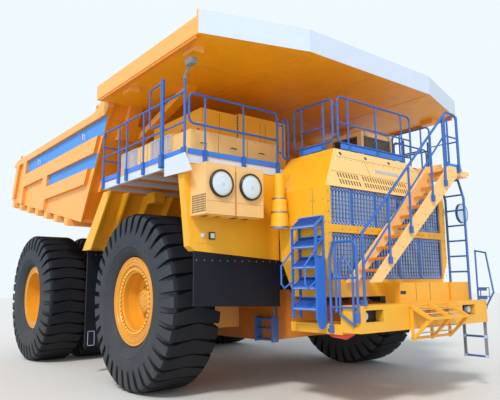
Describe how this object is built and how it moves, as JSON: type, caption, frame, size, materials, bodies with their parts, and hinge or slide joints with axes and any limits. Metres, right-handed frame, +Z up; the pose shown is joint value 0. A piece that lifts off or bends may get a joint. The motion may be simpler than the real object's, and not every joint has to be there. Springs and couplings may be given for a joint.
{
  "type": "mining dump truck",
  "caption": "Rigid-frame electric-drive mining haul truck with a tipping body, hand railed decks, cab and diagonal front stair.",
  "frame": {"origin": "centre of the bounding box, on the ground", "axes": "+X forward, +Y to the truck's left, +Z up"},
  "size_m": [13.88, 7.744, 6.62],
  "materials": {
    "yellow_paint": "gloss",
    "orange_paint": "gloss",
    "blue_paint": "gloss",
    "white_paint": "gloss",
    "tyre_rubber": "matte",
    "flap_rubber": "matte",
    "dark_steel": "matte",
    "rod_chrome": "polished",
    "glass": "clear",
    "seat_fabric": "matte",
    "black_plastic": "matte"
  },
  "bodies": {
    "chassis": {"frame": "yellow_paint", "bumper": "yellow_paint", "hood": "yellow_paint", "grille": "blue_paint", "engine": "dark_steel", "deck_right": "white_paint", "deck_left": "white_paint", "fender_right": "yellow_paint", "fender_left": "yellow_paint", "headlamps": "yellow_paint", "mudflaps": "flap_rubber", "cabinet_low": "yellow_paint", "cabinet_high": "orange_paint", "cab_shell": "yellow_paint", "cab_glass": "glass", "seat": "seat_fabric", "steering_wheel": "black_plastic", "air_cleaners": "yellow_paint", "fuel_tank": "orange_paint", "air_tank": "orange_paint", "stair": "yellow_paint", "step_ladder": "blue_paint", "side_ladders": "blue_paint", "rails_right": "blue_paint", "rails_hood": "blue_paint", "rails_left": "blue_paint", "rails_walkway": "blue_paint", "rails_bumper": "blue_paint", "mirrors": "black_plastic", "front_axle": "orange_paint", "rear_axle": "orange_paint", "suspension": "orange_paint"},
    "knuckle_left": {"knuckle_left": "orange_paint"},
    "knuckle_right": {"knuckle_right": "orange_paint"},
    "front_wheel_left": {"wheel_front_left": "yellow_paint", "tyre_front_left": "tyre_rubber"},
    "front_wheel_right": {"wheel_front_right": "yellow_paint", "tyre_front_right": "tyre_rubber"},
    "rear_wheels_left": {"wheel_rear_left": "orange_paint", "tyres_rear_left": "tyre_rubber"},
    "rear_wheels_right": {"wheel_rear_right": "orange_paint", "tyres_rear_right": "tyre_rubber"},
    "bed": {"bed_floor": "orange_paint", "bed_sides": "orange_paint", "bed_front": "orange_paint", "canopy": "yellow_paint", "bed_stringers": "orange_paint"},
    "hoist_barrel_left": {"hoist_barrel_left": "dark_steel"},
    "hoist_barrel_right": {"hoist_barrel_right": "dark_steel"},
    "hoist_stage_left": {"hoist_stage_left": "dark_steel"},
    "hoist_stage_right": {"hoist_stage_right": "dark_steel"},
    "hoist_rod_left": {"hoist_rod_left": "rod_chrome"},
    "hoist_rod_right": {"hoist_rod_right": "rod_chrome"},
    "cab_door_left": {"cab_door_left": "yellow_paint"},
    "cab_door_right": {"cab_door_right": "yellow_paint"},
    "folding_ladder": {"folding_ladder": "yellow_paint"}
  },
  "joints": [
    {"name": "steering_left", "type": "hinge", "parent": "chassis", "child": "knuckle_left", "pos_m": [2.16, 2.28, 1.75], "axis": [0, 0, 1], "range_deg": [-30, 30]},
    {"name": "front_wheel_left_spin", "type": "hinge", "parent": "knuckle_left", "child": "front_wheel_left", "pos_m": [2.16, 3.05, 1.75], "axis": [0, 1, 0], "continuous": true},
    {"name": "rear_wheels_left_spin", "type": "hinge", "parent": "chassis", "child": "rear_wheels_left", "pos_m": [-4.02, 2.4, 1.75], "axis": [0, 1, 0], "continuous": true},
    {"name": "steering_right", "type": "hinge", "parent": "chassis", "child": "knuckle_right", "pos_m": [2.16, -2.28, 1.75], "axis": [0, 0, 1], "range_deg": [-30, 30]},
    {"name": "front_wheel_right_spin", "type": "hinge", "parent": "knuckle_right", "child": "front_wheel_right", "pos_m": [2.16, -3.05, 1.75], "axis": [0, 1, 0], "continuous": true},
    {"name": "rear_wheels_right_spin", "type": "hinge", "parent": "chassis", "child": "rear_wheels_right", "pos_m": [-4.02, -2.4, 1.75], "axis": [0, 1, 0], "continuous": true},
    {"name": "bed_tip", "type": "hinge", "parent": "chassis", "child": "bed", "pos_m": [-5.19, 0, 2.75], "axis": [0, -1, 0], "range_deg": [0, 45]},
    {"name": "hoist_swing_left", "type": "hinge", "parent": "chassis", "child": "hoist_barrel_left", "pos_m": [-1.64, 1.29, 1.4], "axis": [0, -1, 0], "range_deg": [0, 17.2]},
    {"name": "hoist_stage_left", "type": "slide", "parent": "hoist_barrel_left", "child": "hoist_stage_left", "axis": [-0.0499, 0, 0.9988], "range_m": [0, 1.29]},
    {"name": "hoist_rod_left", "type": "slide", "parent": "hoist_stage_left", "child": "hoist_rod_left", "axis": [-0.0499, 0, 0.9988], "range_m": [0, 1.29]},
    {"name": "hoist_swing_right", "type": "hinge", "parent": "chassis", "child": "hoist_barrel_right", "pos_m": [-1.64, -1.29, 1.4], "axis": [0, -1, 0], "range_deg": [0, 17.2]},
    {"name": "hoist_stage_right", "type": "slide", "parent": "hoist_barrel_right", "child": "hoist_stage_right", "axis": [-0.0499, 0, 0.9988], "range_m": [0, 1.29]},
    {"name": "hoist_rod_right", "type": "slide", "parent": "hoist_stage_right", "child": "hoist_rod_right", "axis": [-0.0499, 0, 0.9988], "range_m": [0, 1.29]},
    {"name": "cab_door_left_swing", "type": "hinge", "parent": "chassis", "child": "cab_door_left", "pos_m": [2.126, 2.85, 5], "axis": [0, 0, 1], "range_deg": [0, 90]},
    {"name": "cab_door_right_swing", "type": "hinge", "parent": "chassis", "child": "cab_door_right", "pos_m": [2.126, 1.57, 5], "axis": [0, 0, -1], "range_deg": [0, 90]},
    {"name": "front_ladder_fold", "type": "hinge", "parent": "chassis", "child": "folding_ladder", "pos_m": [6.56, 0.92, 1.64], "axis": [1, 0, 0], "range_deg": [0, 70]}
  ],
  "couplings": [
    {"joint": "steering_right", "follows": "steering_left", "ratio": 1},
    {"joint": "hoist_stage_left", "follows": "bed_tip", "m_per_rad": 1.6412},
    {"joint": "hoist_rod_left", "follows": "bed_tip", "m_per_rad": 1.6412},
    {"joint": "hoist_swing_left", "follows": "bed_tip", "ratio": 0.37931},
    {"joint": "hoist_stage_right", "follows": "bed_tip", "m_per_rad": 1.6412},
    {"joint": "hoist_rod_right", "follows": "bed_tip", "m_per_rad": 1.6412},
    {"joint": "hoist_swing_right", "follows": "bed_tip", "ratio": 0.37931}
  ]
}
